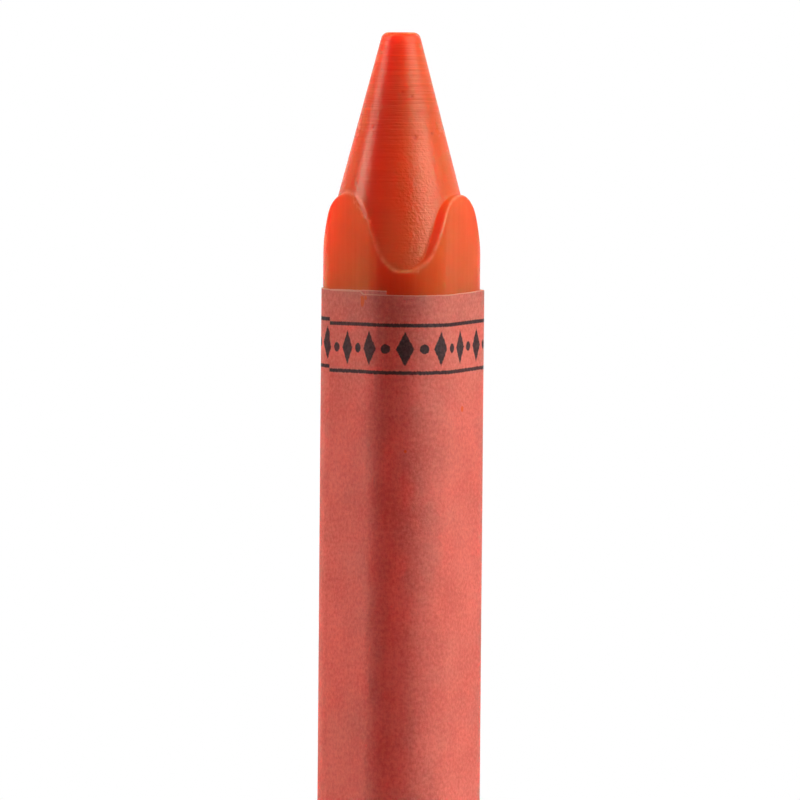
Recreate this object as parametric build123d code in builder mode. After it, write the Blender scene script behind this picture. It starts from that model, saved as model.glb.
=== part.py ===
from build123d import *

import os
from math import acos, atan2, cos, hypot, radians, sin, sqrt, tan

# A large triangular wax crayon in a wound paper label.
#
# The stick is one moulding.  Its section is a triangle with round corners.  Near the tip the
# triangle gives way to a cone, and each flat runs up the cone as a tongue that stands proud of
# it.  The mould's head is cut by hand: the cone stands a little off the stick's axis and no two
# tongues are quite alike.
#
# The label is one strip of paper, coated with paste and wound once round the stick, a little
# loosely, with a lap.  It is fed slightly askew, so its last edge lies lower than its first.
#
# Frame: the origin is the centre of the flat butt and +Z runs up the axis to the tip.  One
# corner of the triangle, the front one, points along -Y.

os.makedirs("parts", exist_ok=True)

# ---- the wax stick (mm, degrees) ----
stick_length = 101.6
flat_distance = 4.59  # from the axis to each flat
corner_radius = 3.22
corner_turn = 120  # how far the surface turns round each corner
front_corner = -90  # the way that the front corner points
butt_edge = 0.35  # round on the rim of the butt

cone_half_angle = 14.85
tip_radius = 1.29  # of the cone where it reaches the tip's face
tip_edge = 0.38  # round on the rim of the tip
cone_shift = 0.29  # the cone stands this far off the stick's axis, towards -X

tongue_facings = (-150, -30, 90)  # the flats that the tongues run up
tongue_offsets = (-0.4, -0.12, 0)  # from a flat's middle to its tongue's, anticlockwise from above
tongue_peaks = (11.32, 11.42, 11.42)  # from the tip down to the top of each tongue
tongue_valley = 16.72  # from the tip down to the low points between the tongues
tongue_inset = 2.31  # a tongue's round head is this much narrower, each side, than its foot
tongue_hollow = 3.4  # radius of the hollow sweep from its flank to the valley
valley_round = 0.6  # radius at the bottom of a valley
valley_spread = 35  # slope at which that radius gives way to the hollow sweep

# ---- the paper label (mm, degrees) ----
paper = 0.08  # thickness of the strip
paste = 0.02  # thickness of the paste on its inner face
label_slack = 0.12  # mean play between the paste and the stick
label_shift = 0.1  # the label takes up that play on its -X side, so it sits this far towards +X
label_top = 18.12  # from the tip down to the strip's upper edge, where the winding starts
label_height = 79.6  # width of the strip, which is the label's height
label_turns = 1
label_lap = 6.2  # how far the strip runs on past its last full turn
label_start = 30  # the winding starts this far round the front corner from its crown
label_climb = 1.1  # length over which the strip climbs on to its own first edge
winding_drop = 0.28  # how much lower the strip lies after each turn
paste_margin = 0.8  # the paste stops this far inside the strip's long edges

# ---- what follows from them ----
axis_to_corner = 2 * (flat_distance - corner_radius)  # to the centre of a corner's round
corner_reach = axis_to_corner + corner_radius  # from the axis to the crown of a corner
corner_run = corner_radius * radians(corner_turn)  # girth along one round corner
flat_run = sqrt(3) * axis_to_corner  # girth along one flat
side_run = corner_run + flat_run
girth = 3 * side_run
corner_across = corner_reach * sin(radians(corner_turn / 2))  # from a flat's middle to the crown
tongue_crown = corner_across - tongue_inset  # radius of a tongue's round head
straightness = 1e-4  # a run that bows less than this is a straight one


# ---- tongues: the flats carried up the cone ----
def tongue_outline(peak):
    """Half of a tongue's face, as arcs and a line: across from its middle, and up from the butt."""
    valley = stick_length - tongue_valley
    spread = radians(valley_spread)
    crown_up = peak - tongue_crown
    sweep = tongue_hollow - valley_round
    hollow_across = corner_across + sweep * sin(spread)
    hollow_up = valley + valley_round + sweep * cos(spread)
    # the flank is the line that touches both the round head and the hollow sweep
    rise = hollow_up - crown_up
    span = hypot(hollow_across, rise)
    flank = atan2(hollow_across, rise) - acos((tongue_crown + tongue_hollow) / span)

    def on_crown(slope):
        return tongue_crown * sin(slope), crown_up + tongue_crown * cos(slope)

    def on_hollow(slope):
        return hollow_across - tongue_hollow * sin(slope), hollow_up - tongue_hollow * cos(slope)

    def on_valley(slope):
        return (
            corner_across - valley_round * sin(slope),
            valley + valley_round * (1 - cos(slope)),
        )

    ThreePointArc(on_crown(0), on_crown(flank / 2), on_crown(flank))
    Line(on_crown(flank), on_hollow(flank))
    ThreePointArc(on_hollow(flank), on_hollow((flank + spread) / 2), on_hollow(spread))
    ThreePointArc(on_valley(spread), on_valley(spread / 2), on_valley(0))
    Line(on_valley(0), (0, valley))


def stick_section():
    """The stick's section: a triangle with round corners, one of them towards -Y."""
    RegularPolygon(flat_distance, 3, major_radius=False, rotation=front_corner)
    fillet(vertices(), corner_radius)


def facing_plane(angle, offset):
    """The upright plane through the axis that faces the given way, its origin offset sideways."""
    out = Vector(cos(radians(angle)), sin(radians(angle)))
    sideways = Vector(0, 0, 1).cross(out)
    return Plane(origin=offset * sideways, x_dir=sideways, z_dir=out)


with BuildPart() as tongues:
    for facing, offset, peak in zip(tongue_facings, tongue_offsets, tongue_peaks):
        with BuildSketch(facing_plane(facing, offset)):
            with BuildLine():
                tongue_outline(stick_length - peak)
                mirror(about=Plane.YZ)
            make_face()
        extrude(amount=flat_distance)
    with BuildSketch():
        stick_section()
    extrude(amount=stick_length, mode=Mode.INTERSECT)

# ---- tip: a cone with a flat end, cut to the stick's section where it is wider ----
cone_foot = stick_length - tongue_valley - corner_radius
foot_radius = tip_radius + (stick_length - cone_foot) * tan(radians(cone_half_angle))

with BuildPart() as tip_cone:
    with BuildSketch(Plane.XZ.shift_origin((-cone_shift, 0, 0))) as cone_half:
        with BuildLine():
            Polyline(
                (0, cone_foot),
                (foot_radius, cone_foot),
                (tip_radius, stick_length),
                (0, stick_length),
                close=True,
            )
        make_face()
        fillet(cone_half.vertices().group_by(Axis.Y)[-1].sort_by(Axis.X)[-1], tip_edge)
    revolve(axis=Axis((-cone_shift, 0, 0), (0, 0, 1)))
    with BuildSketch():
        stick_section()
    extrude(amount=stick_length, mode=Mode.INTERSECT)

# ---- the whole stick, one moulding ----
with BuildPart() as wax_stick:
    with BuildSketch():
        stick_section()
    extrude(amount=stick_length - tongue_valley)
    fillet(wax_stick.faces().sort_by(Axis.Z)[0].edges(), butt_edge)
    add(tip_cone.part)
    add(tongues.part)

wax_stick.part.label = "wax_stick"
export_step(wax_stick.part, "parts/wax_stick.step")


# ---- the winding: where the strip is at any distance from its first edge ----
def side_and_way(distance):
    """The side that the strip is on at this distance from its first edge, and how far along it.

    A side is one round corner and the flat after it, clockwise as seen from the tip.
    """
    return divmod(distance + corner_radius * radians(label_start) + corner_run / 2, side_run)


def layer_at(distance):
    """How many layers lie under the strip, with the climb on to each new layer."""
    turn, along = divmod(distance, girth)
    return turn + max(0, along - girth + label_climb) / label_climb


def drop_at(distance):
    """How far the strip has come down by this distance.  It falls along the flats only."""
    side, way = side_and_way(distance)
    return winding_drop / 3 * (side + max(way - corner_run, 0) / flat_run)


def outward_at(distance):
    """The way that the stick's surface faces at this distance."""
    side, way = side_and_way(distance)
    turns = side + min(way / corner_run, 1) - 1 / 2
    faces = radians(front_corner - corner_turn * turns)
    return Vector(cos(faces), sin(faces))


def strip_point(distance, lift):
    """A point of the strip's inner face, raised off it by lift."""
    side, way = side_and_way(distance)
    corner = radians(front_corner - corner_turn * side)
    down_flat = corner - radians(corner_turn / 2 + 90)
    centre = Vector(label_shift, 0) + axis_to_corner * Vector(cos(corner), sin(corner))
    centre += max(way - corner_run, 0) * Vector(cos(down_flat), sin(down_flat))
    reach = corner_radius + label_slack + paste + (paper + paste) * layer_at(distance) + lift
    return centre + reach * outward_at(distance)


def strip_stations(length):
    """The distances at which the strip passes on to a flat, a corner or a climb, and its ends."""
    first_flat = corner_run / 2 - corner_radius * radians(label_start)
    stations = {0.0, length}
    for turn in range(int(length // girth) + 1):
        stations |= {turn * girth, (turn + 1) * girth - label_climb}
        for side in range(-1, 3):
            flat_begins = turn * girth + first_flat + side * side_run
            stations |= {flat_begins, flat_begins + flat_run}
    return sorted({round(station, 6) for station in stations if 0 <= station <= length})


def wound_layer(lift, thickness, edge_margin):
    """A skin of the winding, this far off the strip's inner face, one solid for each run of it."""
    length = label_turns * girth + label_lap
    stations = strip_stations(length)
    upper = stick_length - label_top - edge_margin
    lower = stick_length - label_top - label_height + edge_margin
    runs = []
    for begin, end in zip(stations, stations[1:]):
        inner = [strip_point(at, lift) for at in (begin, (begin + end) / 2, end)]
        outer = [strip_point(at, lift + thickness) for at in (begin, (begin + end) / 2, end)]
        drop, fall = drop_at(begin), drop_at(end) - drop_at(begin)
        with BuildPart() as run:
            with BuildSketch(Plane.XY.offset(lower - drop - fall)):
                with BuildLine():
                    for start, halfway, finish in (inner, outer):
                        if (halfway - (start + finish) / 2).length < straightness:
                            Line(start, finish)
                        else:
                            ThreePointArc(start, halfway, finish)
                    Line(inner[0], outer[0])
                    Line(inner[2], outer[2])
                make_face()
            extrude(amount=upper - lower + fall)
            if fall > straightness:
                down_strip = inner[2] - inner[0] - Vector(0, 0, fall)
                square_up = down_strip.cross(outward_at(begin))
                for height, kept in ((upper, Keep.BOTTOM), (lower, Keep.TOP)):
                    edge = inner[0] + Vector(0, 0, height - drop)
                    split(bisect_by=Plane(edge, x_dir=down_strip, z_dir=square_up), keep=kept)
        runs.append(run.part)
    return runs


with BuildPart() as paper_label:
    add(wound_layer(0, paper, 0))

paper_label.part.label = "paper_label"
export_step(paper_label.part, "parts/paper_label.step")

with BuildPart() as paste_film:
    add(wound_layer(-paste, paste, paste_margin))

paste_film.part.label = "paste_film"
export_step(paste_film.part, "parts/paste_film.step")
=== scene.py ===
from math import acos, atan2, copysign, cos, exp, hypot, pi, radians, sin, sqrt, tan

import bpy
from mathutils import Matrix, Vector, noise


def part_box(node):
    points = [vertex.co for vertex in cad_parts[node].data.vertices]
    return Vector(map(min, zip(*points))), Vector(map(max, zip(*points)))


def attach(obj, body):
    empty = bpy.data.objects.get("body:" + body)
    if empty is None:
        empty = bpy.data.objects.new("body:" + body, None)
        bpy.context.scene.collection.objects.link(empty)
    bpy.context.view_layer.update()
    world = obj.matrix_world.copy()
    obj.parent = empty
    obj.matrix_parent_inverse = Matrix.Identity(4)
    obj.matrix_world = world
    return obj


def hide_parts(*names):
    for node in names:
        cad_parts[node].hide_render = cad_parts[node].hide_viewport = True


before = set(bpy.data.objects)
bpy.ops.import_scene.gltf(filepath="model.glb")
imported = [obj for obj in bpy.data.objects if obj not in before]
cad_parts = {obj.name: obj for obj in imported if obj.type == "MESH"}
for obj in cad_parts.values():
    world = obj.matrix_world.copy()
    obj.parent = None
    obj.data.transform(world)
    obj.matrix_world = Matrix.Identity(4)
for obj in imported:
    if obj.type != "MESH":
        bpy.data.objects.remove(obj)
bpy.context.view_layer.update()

# The looks of a large triangular wax crayon: the moulded stick, with soft rims and the marks of
# its mould, and the label, a strip of printed paper wound once round it with a lap.
# The stick stands on its butt, tip up, with one corner of its section towards -Y.

MM = 0.001  # lengths are in metres, written as so many MM

# ---- the stick ----
stick_low, stick_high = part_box("wax_stick")
tip, butt = stick_high.z, stick_low.z
flat_distance = stick_high.y  # from the axis to each flat
corner_radius = 3.22 * MM
corner_turn = 120  # degrees that the surface turns round each corner
front_corner = -90  # degrees: the way that the front corner points
axis_to_corner = 2 * (flat_distance - corner_radius)  # to the centre of a corner's round
cone_slope = radians(14.85)
tip_radius = 1.29 * MM  # of the cone where it reaches the tip's face
tip_edge = 0.38 * MM  # round on the rim of the tip
butt_edge = 0.35 * MM  # round on the rim of the butt
cone_shift = 0.29 * MM  # the cone stands this far off the axis, towards -X

# the tongues that the flats run up the cone: the way that each faces, how far it stands to the
# side of its flat's middle, and the height of its peak
tongues = [
    (radians(-150), -0.40 * MM, tip - 11.32 * MM),
    (radians(-30), -0.12 * MM, tip - 11.42 * MM),
    (radians(90), 0, tip - 11.42 * MM),
]
left_tongue = tongues[0][0]  # the way that the flaked one faces
corner_across = (axis_to_corner + corner_radius) * sin(radians(corner_turn / 2))
tongue_crown = corner_across - 2.31 * MM  # radius of a tongue's round head
tongue_hollow = 3.4 * MM  # radius of the sweep from its flank to the valley
tongue_valley = tip - 16.72 * MM  # height of the low points between the tongues
valley_round = 0.6 * MM  # radius at the bottom of a valley
valley_spread = radians(35)  # slope at which that radius gives way to the sweep
tongue_side = flat_distance / 2  # only places further out than this can be on a tongue
head_low = tongue_valley - 1 * MM  # the stick is a plain bar below this height
rim_round = 0.17 * MM  # wear on the tongues' rims
foot_round = 0.10 * MM  # where their walls rise from the cone
foot_depths = (0.03 * MM, 0.15 * MM)  # depths inside the bar over which that round comes in

# ---- the label ----
label_low, label_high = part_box("paper_label")
label_top = label_high.z
label_shift = (label_low.x + label_high.x) / 2  # its play is all on one side
label_reach = label_high.y - flat_distance  # from a flat to the label's outer face, one layer
paper = 0.08 * MM
paste = 0.02 * MM
label_height = 79.6 * MM
label_lap = 6.2 * MM
label_climb = 1.1 * MM  # length over which the strip climbs on to its own first edge
label_start = radians(30)  # where the winding starts, round the front corner from its crown
winding_drop = 0.28 * MM  # how much lower the strip lies after one turn

corner_run = corner_radius * radians(corner_turn)  # girth along one round corner
side_run = corner_run + sqrt(3) * axis_to_corner  # along a corner and the flat after it
girth = 3 * side_run
strip_length = girth + label_lap

# how far the strip's two cut edges stray from straight
cut_sway, cut_sway_length = 0.035 * MM, 2.6 * MM
cut_fray, cut_fray_length = 0.012 * MM, 0.35 * MM
cut_reach = 1 * MM  # the strip follows them only this near the edge
lap_rise = 0.22 * MM  # the lap's edge rises by this much, level with the layer under it
lap_rises = (2.0 * MM, 2.5 * MM)  # how far past the first edge it does so
press_depth, press_length = 0.012 * MM, 5 * MM  # the strip hugs the stick unevenly

# ---- view ----
VIEW_AZIMUTH = radians(-4.2)
VIEW_ELEVATION = radians(3.1)
VIEW_ROLL = radians(0.49)
VIEW_DISTANCE = 600 * MM
VIEW_SPAN = 56.82 * MM  # what the frame takes in at that distance
VIEW_CENTRE = Vector((-0.14 * MM, 0, tip - 26.1 * MM))
NEAREST_SEEN = 10 * MM  # the camera sees nothing nearer


# ---- modelling helpers ----
def ramp(value, start, end):
    """Rises smoothly from 0 at start to 1 at end."""
    share = min(1, max(0, (value - start) / (end - start)))
    return share * share * (3 - 2 * share)


def wave(along, row, layer=0):
    """A smooth random value of about -1 to 1. Each row and layer has a run of its own."""
    return noise.noise(Vector((along, row, layer)))


def take_up(piece):
    """Makes one piece the only selected one, ready for an operator."""
    if bpy.context.object and bpy.context.object.mode != "OBJECT":
        bpy.ops.object.mode_set(mode="OBJECT")
    bpy.ops.object.select_all(action="DESELECT")
    piece.select_set(True)
    bpy.context.view_layer.objects.active = piece


def merged_copy(node_name, name):
    """A copy of a CAD node with its loose triangles joined."""
    merge_distance = 0.0005 * MM
    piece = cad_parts[node_name].copy()
    piece.data = piece.data.copy()
    piece.name = piece.data.name = name
    piece.parent = None
    for key in list(piece.keys()):
        del piece[key]
    piece.data.materials.clear()
    bpy.context.scene.collection.objects.link(piece)
    take_up(piece)
    bpy.ops.object.mode_set(mode="EDIT")
    bpy.ops.mesh.select_all(action="SELECT")
    bpy.ops.mesh.remove_doubles(threshold=merge_distance)
    bpy.ops.mesh.customdata_custom_splitnormals_clear()
    bpy.ops.object.mode_set(mode="OBJECT")
    return piece


def cut_at(piece, height, keep_above, fill):
    """Cuts a piece level at a height and throws the other side away."""
    take_up(piece)
    bpy.ops.object.mode_set(mode="EDIT")
    bpy.ops.mesh.select_all(action="SELECT")
    bpy.ops.mesh.bisect(
        plane_co=(0, 0, height),
        plane_no=(0, 0, 1),
        use_fill=fill,
        clear_inner=keep_above,
        clear_outer=not keep_above,
    )
    bpy.ops.object.mode_set(mode="OBJECT")


def apply_modifier(piece, kind, **settings):
    """Adds a modifier with these settings and makes its result the mesh."""
    modifier = piece.modifiers.new(kind.lower(), kind)
    for key, value in settings.items():
        setattr(modifier, key, value)
    take_up(piece)
    bpy.ops.object.modifier_apply(modifier=modifier.name)


def bridge_rims(piece, below, above):
    """Joins the two open rims that lie between two heights."""
    take_up(piece)
    bpy.ops.object.mode_set(mode="EDIT")
    bpy.ops.mesh.select_all(action="DESELECT")
    bpy.ops.mesh.select_mode(type="EDGE")
    bpy.ops.object.mode_set(mode="OBJECT")
    faces_on = {}
    for face in piece.data.polygons:
        for edge in face.edge_keys:
            faces_on[edge] = faces_on.get(edge, 0) + 1
    points = piece.data.vertices
    for edge in piece.data.edges:
        heights = [points[index].co.z for index in edge.vertices]
        edge.select = faces_on[edge.key] == 1 and min(heights) > below and max(heights) < above
    bpy.ops.object.mode_set(mode="EDIT")
    bpy.ops.mesh.bridge_edge_loops()
    bpy.ops.mesh.select_all(action="SELECT")
    bpy.ops.mesh.normals_make_consistent(inside=False)
    bpy.ops.object.mode_set(mode="OBJECT")


# ---- the stick's form, as how far outside it a place is ----
def common(first, second, edge):
    """What two forms share, with a rounded edge."""
    both = hypot(max(first + edge, 0), max(second + edge, 0))
    return min(max(first, second), -edge) + both


def joined(first, second, foot):
    """Two forms made one, with a rounded foot where they meet."""
    if foot == 0:
        return min(first, second)
    both = hypot(max(foot - first, 0), max(foot - second, 0))
    return max(min(first, second), foot) - both


def off_section(x, y):
    """How far outside the stick's section a place is: a triangle with round corners."""
    ways = [way for way, offset, peak in tongues]
    facing = max(ways, key=lambda way: x * cos(way) + y * sin(way))
    along = y * cos(facing) - x * sin(facing)
    half_turn = radians(corner_turn / 2)
    if abs(along) <= axis_to_corner * sin(half_turn):
        return x * cos(facing) + y * sin(facing) - flat_distance
    corner = facing + copysign(half_turn, along)
    from_corner = hypot(x - axis_to_corner * cos(corner), y - axis_to_corner * sin(corner))
    return from_corner - corner_radius


def off_cone(x, y, z):
    """How far outside the cone a place is."""
    spread = hypot(x + cone_shift, y) - tip_radius - (tip - z) * tan(cone_slope)
    return spread * cos(cone_slope)


def off_tongue(across, up, peak):
    """How far outside a tongue's outline: its round head, straight flanks and hollow sweeps."""
    across = abs(across)
    crown_up = peak - tongue_crown
    sweep = tongue_hollow - valley_round
    hollow_across = corner_across + sweep * sin(valley_spread)
    hollow_up = tongue_valley + valley_round + sweep * cos(valley_spread)
    rise = hollow_up - crown_up
    span = hypot(hollow_across, rise)
    flank = atan2(hollow_across, rise) - acos((tongue_crown + tongue_hollow) / span)
    if across > corner_across:
        return up - tongue_valley
    if atan2(across, up - crown_up) < flank:
        return hypot(across, up - crown_up) - tongue_crown
    slope = atan2(hollow_across - across, hollow_up - up)
    if slope > flank:
        return across * sin(flank) + (up - crown_up) * cos(flank) - tongue_crown
    if slope > valley_spread:
        return tongue_hollow - hypot(hollow_across - across, hollow_up - up)
    return valley_round - hypot(corner_across - across, tongue_valley + valley_round - up)


def off_stick(x, y, z):
    """How far outside the whole stick, its rims worn round and the left tongue's flaked."""
    section = off_section(x, y)
    if z < head_low:
        return common(section, butt - z, butt_edge)
    form = max(section, common(off_cone(x, y, z), z - tip, tip_edge))
    foot = foot_round * ramp(-section, *foot_depths)
    for facing, offset, peak in tongues:
        if x * cos(facing) + y * sin(facing) > tongue_side:
            across = y * cos(facing) - x * sin(facing) - offset
            flake = flake_at(across, z - peak) if facing == left_tongue else 0
            tongue = common(section + flake, off_tongue(across, z, peak), rim_round)
            form = joined(form, tongue, foot)
    return form


def true_up(piece):
    """Sets every point of a piece on the stick's form."""
    step = 0.01 * MM  # over which the form's slope is felt
    passes = 2
    least_slope_squared = 0.25  # keeps a point near a sharp edge from being thrown far
    for vertex in piece.data.vertices:
        x, y, z = vertex.co
        for _ in range(passes):
            height = off_stick(x, y, z)
            slope = Vector(
                (
                    off_stick(x + step, y, z) - height,
                    off_stick(x, y + step, z) - height,
                    off_stick(x, y, z + step) - height,
                )
            ) / step
            steepness = max(slope.length_squared, least_slope_squared)
            x, y, z = Vector((x, y, z)) - slope * height / steepness
        vertex.co = x, y, z


def even_out(piece, grain):
    """Covers a closed piece with an even fine mesh that follows the stick's form."""
    # it is remeshed a thousand times larger, so that no length is tiny
    piece.data.transform(Matrix.Scale(1 / MM, 4))
    apply_modifier(piece, "REMESH", mode="VOXEL", voxel_size=grain / MM)
    piece.data.transform(Matrix.Scale(MM, 4))
    true_up(piece)


# ---- wear and mould marks of the stick, with painted shade in its pits and a painted highlight on its rims ----
# small pits of the cone: how far round, how far below the tip, and radius
pits = [
    (radians(15), 4.5 * MM, 0.10 * MM),
    (radians(-1), 4.2 * MM, 0.08 * MM),
    (radians(41), 7.1 * MM, 0.09 * MM),
    (radians(15), 7.4 * MM, 0.12 * MM),
    (radians(-43), 6.7 * MM, 0.11 * MM),
    (radians(-52), 10.6 * MM, 0.09 * MM),
    (radians(118), 6.0 * MM, 0.12 * MM),
    (radians(-160), 9.0 * MM, 0.10 * MM),
]
pit_depth = 0.05 * MM
# painted shade: how much darker the pits and the tip's nick are painted, by their depth
pit_shade_darkness = 0.7
tip_nick = Vector((1.22 * MM - cone_shift, -0.35 * MM, tip - 0.3 * MM))
nick_radius = 0.2 * MM
nowhere = 1000 * MM  # a distance as good as out of reach

# the flake off the left tongue's rim: how far round the rim it lies, where it sets in and dies
# out, its width and how much that varies, its depth and how wide the slope of its edge is
flake_span = (radians(12), radians(75))
flake_sets_in, flake_dies_out = (radians(14), radians(24)), (radians(58), radians(72))
flake_width, flake_ragged = 0.44 * MM, 0.24 * MM
flake_coarse, flake_fine = 9, 31  # how closely its ragged edge's two kinds of bite follow
flake_depth, flake_edge = 0.10 * MM, 0.08 * MM
flake_farthest = 1 * MM  # it is looked for no further inside the rim than this

# the pale rims: rubbed wear, and a painted highlight along them
rim_wear_and_highlight = 0.13 * MM  # how far their wear reaches
rim_swell = 0.012 * MM  # how far the rubbed wax stands up
flake_rim_gap = 0.05 * MM  # the flake's own rim is this much less worn
wear_and_highlight_mean = 0.8
wear_and_highlight_patches = [(0.45 * MM, 0.5), (0.16 * MM, 0.3)]  # how large they are and how much they count

# the mould's fine rings round the cone, and the orange peel low on it, right of each corner
ring_depth, ring_gap = 0.003 * MM, 0.35 * MM
peel_depth, peel_gap = 0.005 * MM, 0.3 * MM
peel_turn = radians(24)  # how far round from its corner each patch of peel lies
peel_begins = (4.5 * MM, 9 * MM)  # how far below the tip it comes in
peel_spread = (-0.6, 0.6)  # and how near that turn: a cosine that goes round three times
peel_least = 0.15  # what the smooth places have of it
rings_lost = 0.6  # share of the rings' depth that is lost in the peel


def turn_of(point):
    """How far round the cone a point lies, from -Y towards +X."""
    return atan2(point.x + cone_shift, -point.y)


def pit_at(point):
    """How deep a point lies in the nearest pit, from 0 to 1."""
    depth = exp(-(((point - tip_nick).length / nick_radius) ** 2))
    for turn, below, radius in pits:
        reach = tip_radius + below * tan(cone_slope)
        across, down = (turn_of(point) - turn) * reach, tip - point.z - below
        depth = max(depth, exp(-((across / radius) ** 2) - (down / radius) ** 2))
    return depth


def flake_reach(across, up):
    """How far inside the flake of the left tongue's rim a place lies, measured from its peak."""
    slope = atan2(across, up + tongue_crown)
    inside = tongue_crown - hypot(across, up + tongue_crown)
    if not (flake_span[0] < slope < flake_span[1] and inside < flake_farthest):
        return -nowhere
    ragged = wave(slope * flake_coarse, 0, 3) + 0.5 * wave(slope * flake_fine, 0, 7)
    width = flake_width + flake_ragged * ragged
    width *= ramp(slope, *flake_sets_in) * (1 - ramp(slope, *flake_dies_out))
    return width - inside


def flake_at(across, up):
    """How deep the left tongue's rim is flaked off at a place."""
    return flake_depth * ramp(flake_reach(across, up), 0, flake_edge)


def wear_and_highlight_at(point):
    """How pale the rims of the tongues and of the flake are at a place, from 0 to 1: rubbed wear
    with a painted highlight.
    """
    section = off_section(point.x, point.y)
    may_flake = section > -2 * flake_depth
    nearest = nowhere
    for facing, offset, peak in tongues:
        if point.x * cos(facing) + point.y * sin(facing) > tongue_side:
            across = point.y * cos(facing) - point.x * sin(facing) - offset
            nearest = min(nearest, hypot(section, off_tongue(across, point.z, peak)))
            if facing == left_tongue and may_flake:
                from_flake = abs(flake_reach(across, point.z - peak))
                nearest = min(nearest, flake_rim_gap + from_flake)
    patches = [share * noise.noise(point / size) for size, share in wear_and_highlight_patches]
    patchy = sum(patches, wear_and_highlight_mean)
    return min(1, max(0, patchy)) * exp(-((nearest / rim_wear_and_highlight) ** 2))


def mark_stick(stick):
    """Presses the mould's marks into the stick and notes where the material needs them."""
    near_surface, off_surface = 0.02 * MM, 0.08 * MM
    marked_from = label_top - 1 * MM
    nick_from = tip - 1 * MM
    marks = {name: [0.0] * len(stick.data.vertices) for name in ("cone", "peel", "pit_shade", "worn_and_highlit")}
    normals = [vertex.normal.copy() for vertex in stick.data.vertices]
    for index, vertex in enumerate(stick.data.vertices):
        point = vertex.co.copy()
        if point.z < marked_from:
            continue
        below = tip - point.z
        on_cone = 1 - ramp(abs(off_cone(*point)), near_surface, off_surface)
        if off_section(point.x, point.y) > -near_surface:
            on_cone = 0
        third = 3 * (turn_of(point) - peel_turn)
        bumpy = ramp(below, *peel_begins) * ramp(cos(third), *peel_spread)
        pit = pit_at(point) if on_cone or point.z > nick_from else 0
        worn_and_highlit = wear_and_highlight_at(point)
        ring = noise.noise(Vector((0, 0, below / ring_gap)))
        push = ring_depth * on_cone * (1 - rings_lost * bumpy) * ring
        push += peel_depth * on_cone * bumpy * noise.noise(point / peel_gap)
        push += rim_swell * worn_and_highlit - pit_depth * pit
        vertex.co += push * normals[index]
        marks["cone"][index] = on_cone
        marks["peel"][index] = on_cone * (peel_least + (1 - peel_least) * bumpy)
        marks["pit_shade"][index] = pit_shade_darkness * pit
        marks["worn_and_highlit"][index] = worn_and_highlit
    for name, values in marks.items():
        layer = stick.data.attributes.new(name=name, type="FLOAT", domain="POINT")
        layer.data.foreach_set("value", values)


def make_stick():
    """The wax stick in one closed skin, fine where it shows and plain under the label."""
    hidden = 0.8 * MM  # the joints lie this far inside the label's edges
    head_joint = label_top - hidden
    foot_joint = label_top - label_height + hidden
    gap = 1.0 * MM  # between the rims that are bridged
    spare = 0.6 * MM  # trimmed off again once the mesh is even

    shank = merged_copy("wax_stick", "crayon_stick")
    cut_at(shank, head_joint - gap, keep_above=False, fill=False)
    cut_at(shank, foot_joint + gap, keep_above=True, fill=False)

    head = merged_copy("wax_stick", "stick_head")
    cut_at(head, head_joint - spare, keep_above=True, fill=True)
    even_out(head, grain=0.1 * MM)
    cut_at(head, head_joint, keep_above=True, fill=False)

    foot = merged_copy("wax_stick", "stick_foot")
    cut_at(foot, foot_joint + spare, keep_above=False, fill=True)
    even_out(foot, grain=0.22 * MM)
    cut_at(foot, foot_joint, keep_above=False, fill=False)

    take_up(shank)
    head.select_set(True)
    foot.select_set(True)
    bpy.ops.object.join()
    bridge_rims(shank, head_joint - 1.5 * gap, head_joint + 0.5 * gap)
    bridge_rims(shank, foot_joint - 0.5 * gap, foot_joint + 1.5 * gap)
    mark_stick(shank)
    take_up(shank)
    bpy.ops.object.shade_smooth()
    return shank


# ---- the label: one strip of paper, rolled round the stick ----
def wound_place(distance, height, lift):
    """A point of the wound strip: its distance along, its height, and how far off the stick."""
    side, way = divmod(distance + corner_radius * label_start + corner_run / 2, side_run)
    corner = radians(front_corner - corner_turn * side)
    faces = corner + radians(corner_turn / 2) - radians(corner_turn) * min(way / corner_run, 1)
    down_flat = corner - radians(corner_turn / 2 + 90)
    along = max(way - corner_run, 0)
    reach = corner_radius + lift
    x = label_shift + axis_to_corner * cos(corner) + along * cos(down_flat) + reach * cos(faces)
    y = axis_to_corner * sin(corner) + along * sin(down_flat) + reach * sin(faces)
    drop = winding_drop / 3 * (side + along / (side_run - corner_run))
    return Vector((x, y, height - drop))


def stray_of_cut(distance, upper):
    """How far the strip's upper or lower cut edge strays from straight."""
    row = 5 if upper else 17
    stray = cut_sway * wave(distance / cut_sway_length, row)
    stray += cut_fray * wave(distance / cut_fray_length, row, 4)
    if upper:
        stray += lap_rise * ramp(distance - girth, *lap_rises)
    return stray


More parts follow.
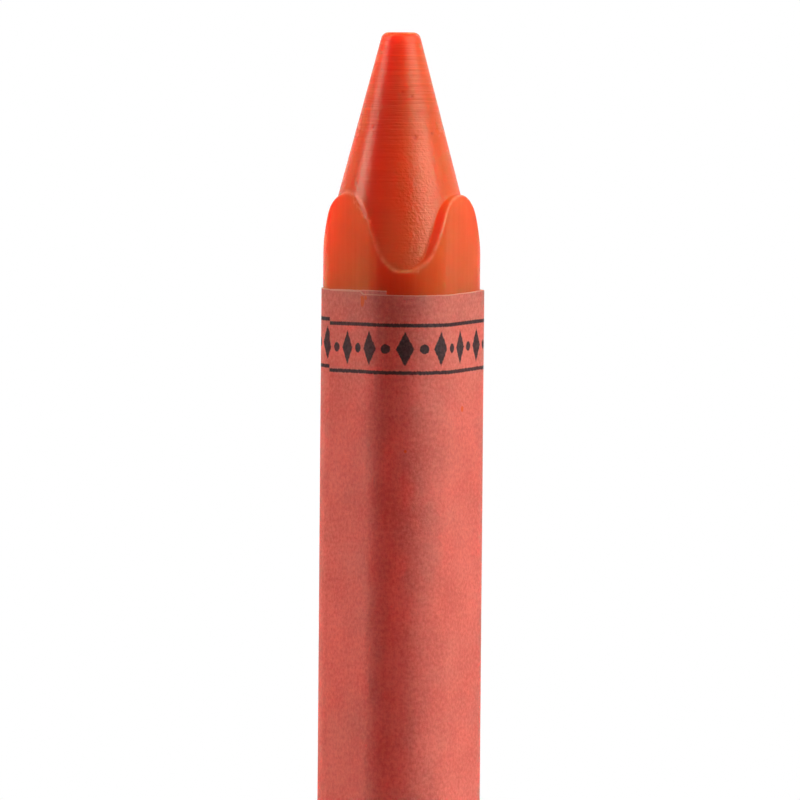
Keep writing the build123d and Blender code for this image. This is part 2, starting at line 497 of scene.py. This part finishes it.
def make_label():
    """The printed strip, wound once round with a lap, and thick as its paper is."""
    columns, rows = 420, 56
    sharp_from = radians(50)
    crowding = 2.2  # how strongly the rows crowd towards the two cut edges
    bpy.ops.object.select_all(action="DESELECT")
    bpy.ops.mesh.primitive_grid_add(x_subdivisions=columns, y_subdivisions=rows, size=1)
    label = bpy.context.object
    label.name = label.data.name = "crayon_label"

    # where each point lies along and up the flat strip, from 0 to 1
    strip_places = []
    for vertex in label.data.vertices:
        crowded = copysign(1 - (1 - abs(2 * vertex.co.y)) ** crowding, vertex.co.y)
        strip_places.append((vertex.co.x + 0.5, 0.5 + crowded / 2))
    for loop, place in zip(label.data.loops, label.data.uv_layers["UVMap"].data):
        place.uv = strip_places[loop.vertex_index]

    for vertex, (along, up) in zip(label.data.vertices, strip_places):
        distance = along * strip_length
        layer = min(1, max(0, (distance - girth + label_climb) / label_climb))
        lift = label_reach - paper / 2 + (paper + paste) * layer
        lift -= press_depth * (1 + wave(distance / press_length, up * 9, 8))
        below = (1 - up) * label_height
        above = up * label_height
        height = label_top - below
        height += stray_of_cut(distance, True) * ramp(-below, -cut_reach, 0)
        height += stray_of_cut(distance, False) * ramp(-above, -cut_reach, 0)
        vertex.co = wound_place(distance, height, lift)
    apply_modifier(label, "SOLIDIFY", thickness=paper, offset=0)
    take_up(label)
    bpy.ops.object.mode_set(mode="EDIT")
    bpy.ops.mesh.select_all(action="SELECT")
    bpy.ops.mesh.normals_make_consistent(inside=False)
    bpy.ops.object.mode_set(mode="OBJECT")
    bpy.ops.object.shade_smooth_by_angle(angle=sharp_from)
    return label


# ---- shader nodes ----
class Signal:
    """A node's output, written in sums like a number."""

    def __init__(self, finish, socket):
        self.finish, self.socket = finish, socket

    def math(self, operation, *values):
        """A Math node on these values."""
        return self.finish.node("ShaderNodeMath", {"operation": operation}, dict(enumerate(values)))

    def __add__(self, other):
        return self.math("ADD", self, other)

    def __sub__(self, other):
        return self.math("SUBTRACT", self, other)

    def __mul__(self, other):
        return self.math("MULTIPLY", self, other)

    def __truediv__(self, other):
        return self.math("DIVIDE", self, other)

    def __mod__(self, other):
        return self.math("FLOORED_MODULO", self, other)

    def __pow__(self, other):
        return self.math("POWER", self, other)

    def __radd__(self, other):
        return self.math("ADD", other, self)

    def __rsub__(self, other):
        return self.math("SUBTRACT", other, self)

    def __rmul__(self, other):
        return self.math("MULTIPLY", other, self)

    def __abs__(self):
        return self.math("ABSOLUTE", self)

    def least(self, other):
        return self.math("MINIMUM", self, other)

    def most(self, other):
        return self.math("MAXIMUM", self, other)


class Finish:
    """The nodes of a material or of the world."""

    def __init__(self, owner):
        self.owner = owner
        owner.use_nodes = True
        self.tree = owner.node_tree
        self.tree.nodes.clear()

    def node(self, kind, settings=None, inputs=None, output=0):
        """Adds a node with its settings, feeds its sockets, and gives one of its outputs."""
        made = self.tree.nodes.new(kind)
        for key, value in (settings or {}).items():
            setattr(made, key, value)
        for key, value in (inputs or {}).items():
            if isinstance(value, Signal):
                self.tree.links.new(value.socket, made.inputs[key])
            else:
                made.inputs[key].default_value = value
        return Signal(self, made.outputs[output]) if made.outputs else None

    def place(self):
        """Where a point lies on the object, in metres."""
        return self.node("ShaderNodeTexCoord", output="Object")

    def mark(self, name):
        """A value noted on the mesh."""
        return self.node("ShaderNodeAttribute", {"attribute_name": name}, output="Fac")

    def axis(self, place, name):
        """One part of a place: X, Y or Z."""
        return self.node("ShaderNodeSeparateXYZ", inputs={"Vector": place}, output=name)

    def stretched(self, place, scale):
        """A place drawn out or squeezed along each axis."""
        return self.node("ShaderNodeMapping", inputs={"Vector": place, "Scale": scale})

    def grain(self, place, size, detail=2.0, roughness=0.5):
        """Noise with grains of this size, from 0 to 1."""
        inputs = {"Vector": place, "Scale": 1 / size, "Detail": detail, "Roughness": roughness}
        return self.node("ShaderNodeTexNoise", inputs=inputs)

    def step(self, value, start, end):
        """Rises smoothly from 0 at start to 1 at end."""
        inputs = {"Value": value, "From Min": start, "From Max": end}
        return self.node("ShaderNodeMapRange", {"interpolation_type": "SMOOTHSTEP"}, inputs)

    def mix(self, share, first, second):
        """A colour between two others."""
        inputs = {0: share, 6: first, 7: second}
        return self.node("ShaderNodeMix", {"data_type": "RGBA"}, inputs, output=2)

    def bump(self, height, depth, over=None):
        """A normal tilted by a height that runs from 0 to 1 over this depth."""
        inputs = {"Height": height, "Distance": depth, "Strength": 1.0}
        if over:
            inputs["Normal"] = over
        return self.node("ShaderNodeBump", inputs=inputs)

    def principled(self, inputs, **settings):
        """A Principled shader with these sockets."""
        return self.node("ShaderNodeBsdfPrincipled", settings, inputs)

    def surface(self, shader):
        """Ends the nodes with this shader."""
        is_world = isinstance(self.owner, bpy.types.World)
        kind = "ShaderNodeOutputWorld" if is_world else "ShaderNodeOutputMaterial"
        self.node(kind, inputs={"Surface": shader})
        return self.owner


# ---- wax ----
WAX_DEEP = (0.66, 0.086, 0.018, 1)
WAX_BRIGHT = (0.75, 0.106, 0.022, 1)
# the cone's colour and the tip's darker one are painted shade
WAX_CONE_PAINTED_SHADE = (0.60, 0.108, 0.036, 1)
WAX_TIP_PAINTED_SHADE = (0.42, 0.115, 0.045, 1)
WAX_RING = (0.45, 0.055, 0.018, 1)
WAX_STREAK = (0.80, 0.150, 0.040, 1)
# the rims' pale colour: rubbed wear with a painted highlight
WAX_WORN_HIGHLIGHT = (0.95, 0.27, 0.14, 1)
WAX_PIT_SHADE = (0.30, 0.020, 0.010, 1)
# how strongly the wax's other colours lie over its own, among them the painted shade of the cone
# and tip and the rims' wear with painted highlight
CONE_SHADE_SHARE, TIP_SHADE_SHARE, WORN_HIGHLIGHT_SHARE = 0.85, 0.7, 0.85
PALE_RING_SHARE, DARK_RING_SHARE, STREAK_SHARE = 0.45, 0.5, 0.25

WAX_ROUGHNESS, WAX_ROUGHER_GRAIN, WAX_ROUGHER_TIP = 0.18, 0.12, 0.06
WAX_IOR = 1.45
WAX_SPECULAR = 0.045
WAX_SHEEN_TINT = (1.0, 0.95, 0.65, 1)
WAX_SUBSURFACE = 1.0
WAX_RADIUS = (1.0, 0.013, 0.009)
WAX_SCALE = 18 * MM

# the wax's rings, pimples and streaks: their grain, and how far it rises
WAX_RING_GRAIN, WAX_RING_RISE = 0.2 * MM, 0.09 * MM
WAX_PIMPLE_GRAIN, WAX_PIMPLE_RISE = 0.22 * MM, 0.045 * MM
WAX_STREAK_GRAIN, WAX_STREAK_RISE = 0.4 * MM, 0.006 * MM
ROUND_THE_AXIS = (0.04, 0.04, 1)  # draws a grain out into level rings
UP_THE_AXIS = (1, 1, 0.06)  # and into upright streaks
WAX_CLOUD_GRAIN = 1.6 * MM
WAX_GLOSS_GRAIN = 0.5 * MM
WAX_UPPER = (tip - 9 * MM, tip - 5 * MM)  # over these heights the cone comes to its upper part


def wax_finish():
    """Orange wax: slightly translucent, satin, ringed by its mould and pimpled on the cone."""
    wax = Finish(bpy.data.materials.new("orange_wax"))
    place = wax.place()
    cone, peel, pit_shade, worn_and_highlit = [wax.mark(name) for name in ("cone", "peel", "pit_shade", "worn_and_highlit")]
    level = wax.stretched(place, ROUND_THE_AXIS)
    rings = wax.grain(level, WAX_RING_GRAIN, detail=3, roughness=0.6)
    pimples = wax.grain(place, WAX_PIMPLE_GRAIN, detail=1.5)
    streaks = wax.grain(wax.stretched(place, UP_THE_AXIS), WAX_STREAK_GRAIN, detail=3)
    cloud = wax.grain(place, WAX_CLOUD_GRAIN, detail=3)
    upper = wax.step(wax.axis(place, "Z"), *WAX_UPPER)

    relief = wax.bump(rings * cone * (0.4 + 0.6 * upper), WAX_RING_RISE)
    relief = wax.bump(pimples * peel, WAX_PIMPLE_RISE, over=relief)
    relief = wax.bump(streaks * (1 - cone), WAX_STREAK_RISE, over=relief)
    rough = WAX_ROUGHNESS + WAX_ROUGHER_GRAIN * wax.grain(place, WAX_GLOSS_GRAIN)
    rough += WAX_ROUGHER_TIP * upper * cone

    # painted shade: the cone is painted darker and more crimson than the flats, and its upper part
    # near the tip darker still; the cone's rings show most near the tip
    colour = wax.mix(cloud, WAX_DEEP, WAX_BRIGHT)
    colour = wax.mix(cone * CONE_SHADE_SHARE, colour, WAX_CONE_PAINTED_SHADE)
    colour = wax.mix(upper * cone * TIP_SHADE_SHARE, colour, WAX_TIP_PAINTED_SHADE)
    ringed = cone * (0.3 + 0.7 * upper) * (1 - 0.8 * peel)
    pale_ring = wax.step(rings, 0.5, 0.75) * ringed
    colour = wax.mix(pale_ring * PALE_RING_SHARE, colour, WAX_STREAK)
    dark_ring = (1 - wax.step(rings, 0.25, 0.5)) * ringed
    colour = wax.mix(dark_ring * DARK_RING_SHARE, colour, WAX_RING)
    streaked = wax.step(streaks, 0.35, 0.75) * (1 - cone)
    colour = wax.mix(streaked * STREAK_SHARE, colour, WAX_STREAK)
    # painted highlight with rubbed wear: the rims of the tongues and of the flake are painted pale
    colour = wax.mix(worn_and_highlit * WORN_HIGHLIGHT_SHARE, colour, WAX_WORN_HIGHLIGHT)
    # painted shade: the pits and the tip's nick are painted darker the deeper they go
    colour = wax.mix(pit_shade, colour, WAX_PIT_SHADE)
    inputs = {
        "Base Color": colour,
        "Roughness": rough,
        "IOR": WAX_IOR,
        "Specular IOR Level": WAX_SPECULAR,
        "Specular Tint": WAX_SHEEN_TINT,
        "Subsurface Weight": WAX_SUBSURFACE,
        "Subsurface Radius": WAX_RADIUS,
        "Subsurface Scale": WAX_SCALE,
        "Normal": relief,
    }
    return wax.surface(wax.principled(inputs, subsurface_method="RANDOM_WALK"))


# ---- paper ----
PAPER_DEEP = (0.63, 0.122, 0.090, 1)
PAPER_BRIGHT = (0.80, 0.200, 0.152, 1)
PAPER_CORE = (0.86, 0.36, 0.26, 1)
PAPER_INK = (0.022, 0.013, 0.015, 1)
PAPER_INK_THIN = (0.075, 0.040, 0.042, 1)
PAPER_SPECULAR = 0.045
PAPER_ROUGHNESS = 0.62
PAPER_SUBSURFACE = 0.5
PAPER_RADIUS = (1.0, 0.006, 0.005)
PAPER_SCALE = 30 * MM

# the paper's mottle and fibres: their grain, and how far it rises
PAPER_MOTTLE_GRAIN, PAPER_MOTTLE_RISE = 0.3 * MM, 0.03 * MM
PAPER_FIBRE_GRAIN, PAPER_FIBRE_RISE = 0.12 * MM, 0.02 * MM
ALONG_FIBRES = (1, 0.45, 1)  # draws the fibres' grain out up the strip
PAPER_CLOUD_GRAIN = 3.5 * MM
PAPER_CUT = (0.02 * MM, 0.09 * MM)  # the cut edge's core shows this far in

# how strongly the ink, the cut edge's core and the specks of wax lie over the paper
INK_SHARE, CUT_SHARE, SPECK_SHARE = 0.97, 0.85, 0.85
# between which tones the paper and its ink go from one of their colours to the other
PAPER_TONES, INK_TONES = (0.36, 0.64), (0.4, 0.7)
SPECK_EDGE = (0.8, 1.15)  # in half sizes of a speck

# the printed band: a row of lozenges and dots between two rings
band_start = 2.0 * MM  # from the label's cut edges to the band
band_height = 3.6 * MM
motif_pitch = 2.65 * MM
lozenge_width, lozenge_height = 1.24 * MM, 2.4 * MM
dot_radius = 0.34 * MM
ring_width = 0.26 * MM
ink_bleed = 0.16 * MM  # how far the fibres move the ink's edges
ink_edge = 0.03 * MM  # half the width over which the ink fades

# specks of wax on the paper: distance along the strip and below its upper edge, and half sizes
wax_specks = [
    (girth + 2.10 * MM, 0.52 * MM, 0.26 * MM, 0.36 * MM),
    (girth + 1.70 * MM, 0.25 * MM, 0.14 * MM, 0.16 * MM),
    (27.4 * MM, 8.2 * MM, 0.22 * MM, 0.24 * MM),
    (33.05 * MM, 11.0 * MM, 0.10 * MM, 0.12 * MM),
    (22.0 * MM, 1.0 * MM, 0.14 * MM, 0.20 * MM),
    (11.0 * MM, 9.0 * MM, 0.10 * MM, 0.16 * MM),
]


def paper_finish():
    """Uncoated red paper with a printed band near each cut edge."""
    sheet = Finish(bpy.data.materials.new("red_paper"))
    strip = sheet.node("ShaderNodeUVMap", {"uv_map": "UVMap"})
    flat = sheet.stretched(strip, (strip_length, label_height, 1))
    along, up = sheet.axis(flat, "X"), sheet.axis(flat, "Y")
    below = label_height - up
    from_edge = below.least(up)

    mottle = sheet.grain(flat, PAPER_MOTTLE_GRAIN, detail=3, roughness=0.6)
    laid = sheet.stretched(flat, ALONG_FIBRES)
    fibres = sheet.grain(laid, PAPER_FIBRE_GRAIN, detail=3, roughness=0.65)
    cloud = sheet.grain(flat, PAPER_CLOUD_GRAIN)
    tone = 0.42 * mottle + 0.33 * fibres + 0.25 * cloud

    # the band's forms, as how far outside them a place is
    across = abs(along % motif_pitch - motif_pitch / 2)
    rise = abs(from_edge - (band_start + band_height / 2))
    lozenge = (across / lozenge_width + rise / lozenge_height - 0.5) * (0.7 * lozenge_width)
    to_dot = motif_pitch / 2 - across
    dot = (to_dot * to_dot + rise * rise) ** 0.5 - dot_radius
    ring = abs(rise - (band_height - ring_width) / 2) - ring_width / 2
    shape = lozenge.least(dot).least(ring) + (fibres - 0.5) * ink_bleed
    ink = 1 - sheet.step(shape, -ink_edge, ink_edge)

    colour = sheet.mix(sheet.step(tone, *PAPER_TONES), PAPER_DEEP, PAPER_BRIGHT)
    ink_colour = sheet.mix(sheet.step(tone, *INK_TONES), PAPER_INK, PAPER_INK_THIN)
    colour = sheet.mix(ink * INK_SHARE, colour, ink_colour)
    cut = 1 - sheet.step(from_edge, *PAPER_CUT)
    colour = sheet.mix(cut * CUT_SHARE, colour, PAPER_CORE)
    for speck_along, speck_below, half_width, half_height in wax_specks:
        sideways = (along - speck_along) / half_width
        down = (below - speck_below) / half_height
        reach = (sideways * sideways + down * down) ** 0.5
        speck = 1 - sheet.step(reach + (mottle - 0.5), *SPECK_EDGE)
        colour = sheet.mix(speck * SPECK_SHARE, colour, WAX_BRIGHT)

    relief = sheet.bump(mottle, PAPER_MOTTLE_RISE)
    relief = sheet.bump(fibres, PAPER_FIBRE_RISE, over=relief)
    inputs = {
        "Base Color": colour,
        "Roughness": PAPER_ROUGHNESS,
        "Specular IOR Level": PAPER_SPECULAR,
        "Subsurface Weight": PAPER_SUBSURFACE,
        "Subsurface Radius": PAPER_RADIUS,
        "Subsurface Scale": PAPER_SCALE,
        "Normal": relief,
    }
    return sheet.surface(sheet.principled(inputs, subsurface_method="BURLEY"))


# ---- paste ----
PASTE_THIN = (0.62, 0.48, 0.34, 1)
PASTE_THICK = (0.78, 0.66, 0.50, 1)
PASTE_CLOUD_GRAIN = 0.8 * MM


def paste_finish():
    """Dried starch paste: a thin cloudy film."""
    film = Finish(bpy.data.materials.new("dried_paste"))
    cloud = film.grain(film.place(), PASTE_CLOUD_GRAIN, detail=3)
    colour = film.mix(cloud, PASTE_THIN, PASTE_THICK)
    return film.surface(film.principled({"Base Color": colour, "Roughness": 0.45 + 0.3 * cloud}))


# ---- camera, lamps and surroundings ----
WHITE = (1, 1, 1, 1)
WORLD_LEVEL = 0.02
FLOOR_PALE = (0.82, 0.82, 0.82, 1)  # as the camera sees it
FLOOR_DIM = (0.20, 0.20, 0.20, 1)  # as it lights the crayon
FLOOR_SIZE = 500 * MM
FLOOR_FADE = (90 * MM, 230 * MM)  # how far from the crayon it fades to white
FLOOR_GLOSS = {"Roughness": 0.9, "Specular IOR Level": 0.2}
LAMP_DISTANCE = 900 * MM
LAMPS = {
    # name: azimuth from the view, elevation, width, height (degrees), level, what it lights
    "key_right": (84, 50, 16, 30, 31, "diffuse"),
    "key_left": (-124, 32, 16, 30, 28, "diffuse"),
    "sheen_right": (60, 28, 42, 34, 50, "glossy"),
    "sheen_left": (-86, 28, 20, 34, 48, "glossy"),
}


def around(azimuth, elevation, distance):
    """A place at this distance from the view's centre, turned and raised by these angles."""
    out = Vector((sin(azimuth) * cos(elevation), -cos(azimuth) * cos(elevation), sin(elevation)))
    return VIEW_CENTRE + distance * out


def make_camera():
    """A long lens that frames the crayon's upper half."""
    data = bpy.data.cameras.new("camera")
    camera = bpy.data.objects.new("camera", data)
    bpy.context.scene.collection.objects.link(camera)
    bpy.context.scene.camera = camera
    data.lens = data.sensor_width * VIEW_DISTANCE / VIEW_SPAN
    data.clip_start = NEAREST_SEEN
    place = around(VIEW_AZIMUTH, VIEW_ELEVATION, VIEW_DISTANCE)
    look = (VIEW_CENTRE - place).to_track_quat("-Z", "Y").to_matrix().to_4x4()
    camera.matrix_world = Matrix.Translation(place) @ look @ Matrix.Rotation(VIEW_ROLL, 4, "Z")


def softbox(name, azimuth, elevation, width, height, level, lights):
    """A flat lamp that spans these angles as the crayon sees it, this many times white."""
    data = bpy.data.lights.new(name, "AREA")
    data.shape = "RECTANGLE"
    data.size = 2 * LAMP_DISTANCE * tan(radians(width) / 2)
    data.size_y = 2 * LAMP_DISTANCE * tan(radians(height) / 2)
    data.energy = level * pi * data.size * data.size_y
    lamp = bpy.data.objects.new(name, data)
    bpy.context.scene.collection.objects.link(lamp)
    lamp.location = around(VIEW_AZIMUTH + radians(azimuth), radians(elevation), LAMP_DISTANCE)
    lamp.rotation_euler = (VIEW_CENTRE - lamp.location).to_track_quat("-Z", "Y").to_euler()
    lamp.visible_camera = False
    lamp.visible_glossy = lights == "glossy"
    lamp.visible_diffuse = lights == "diffuse"


def make_world():
    """White where the camera looks and in reflections, dim where it lights the crayon."""
    studio = Finish(bpy.data.worlds.new("studio"))
    bpy.context.scene.world = studio.owner
    seen = studio.node("ShaderNodeLightPath", output="Is Camera Ray")
    for way in ("Is Glossy Ray", "Is Transmission Ray"):
        seen = seen.most(studio.node("ShaderNodeLightPath", output=way))
    dim = studio.node("ShaderNodeBackground", inputs={"Color": WHITE, "Strength": WORLD_LEVEL})
    bright = studio.node("ShaderNodeBackground", inputs={"Color": WHITE, "Strength": 1.0})
    studio.surface(studio.node("ShaderNodeMixShader", inputs={0: seen, 1: dim, 2: bright}))


def floor_finish():
    """A pale floor that fades to plain white away from the crayon, and throws little light back."""
    ground = Finish(bpy.data.materials.new("pale_floor"))
    camera = ground.node("ShaderNodeLightPath", output="Is Camera Ray")
    place = ground.place()
    away = ground.node("ShaderNodeVectorMath", {"operation": "LENGTH"}, {0: place}, output="Value")
    fade = ground.step(away, *FLOOR_FADE) * camera
    dim = ground.principled({"Base Color": FLOOR_DIM, **FLOOR_GLOSS})
    pale = ground.principled({"Base Color": FLOOR_PALE, **FLOOR_GLOSS})
    white = ground.node("ShaderNodeEmission", inputs={"Color": WHITE, "Strength": 1.0})
    seen = ground.node("ShaderNodeMixShader", inputs={0: camera, 1: dim, 2: pale})
    return ground.surface(ground.node("ShaderNodeMixShader", inputs={0: fade, 1: seen, 2: white}))


def make_floor():
    """The floor that the crayon stands on."""
    bpy.ops.object.select_all(action="DESELECT")
    bpy.ops.mesh.primitive_plane_add(size=FLOOR_SIZE, location=(0, 0, butt))
    ground = bpy.context.object
    ground.name = "floor"
    ground.data.materials.append(floor_finish())


# ---- the scene ----
make_camera()
for lamp_name, settings in LAMPS.items():
    softbox(lamp_name, *settings)
make_world()
make_floor()
bpy.context.scene.view_settings.view_transform = "Standard"

stick = make_stick()
stick.data.materials.append(wax_finish())
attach(stick, "root")
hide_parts("wax_stick")

label = make_label()
label.data.materials.append(paper_finish())
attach(label, "root")
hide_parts("paper_label")

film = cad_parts["paste_film"]
film.data.materials.clear()
film.data.materials.append(paste_finish())
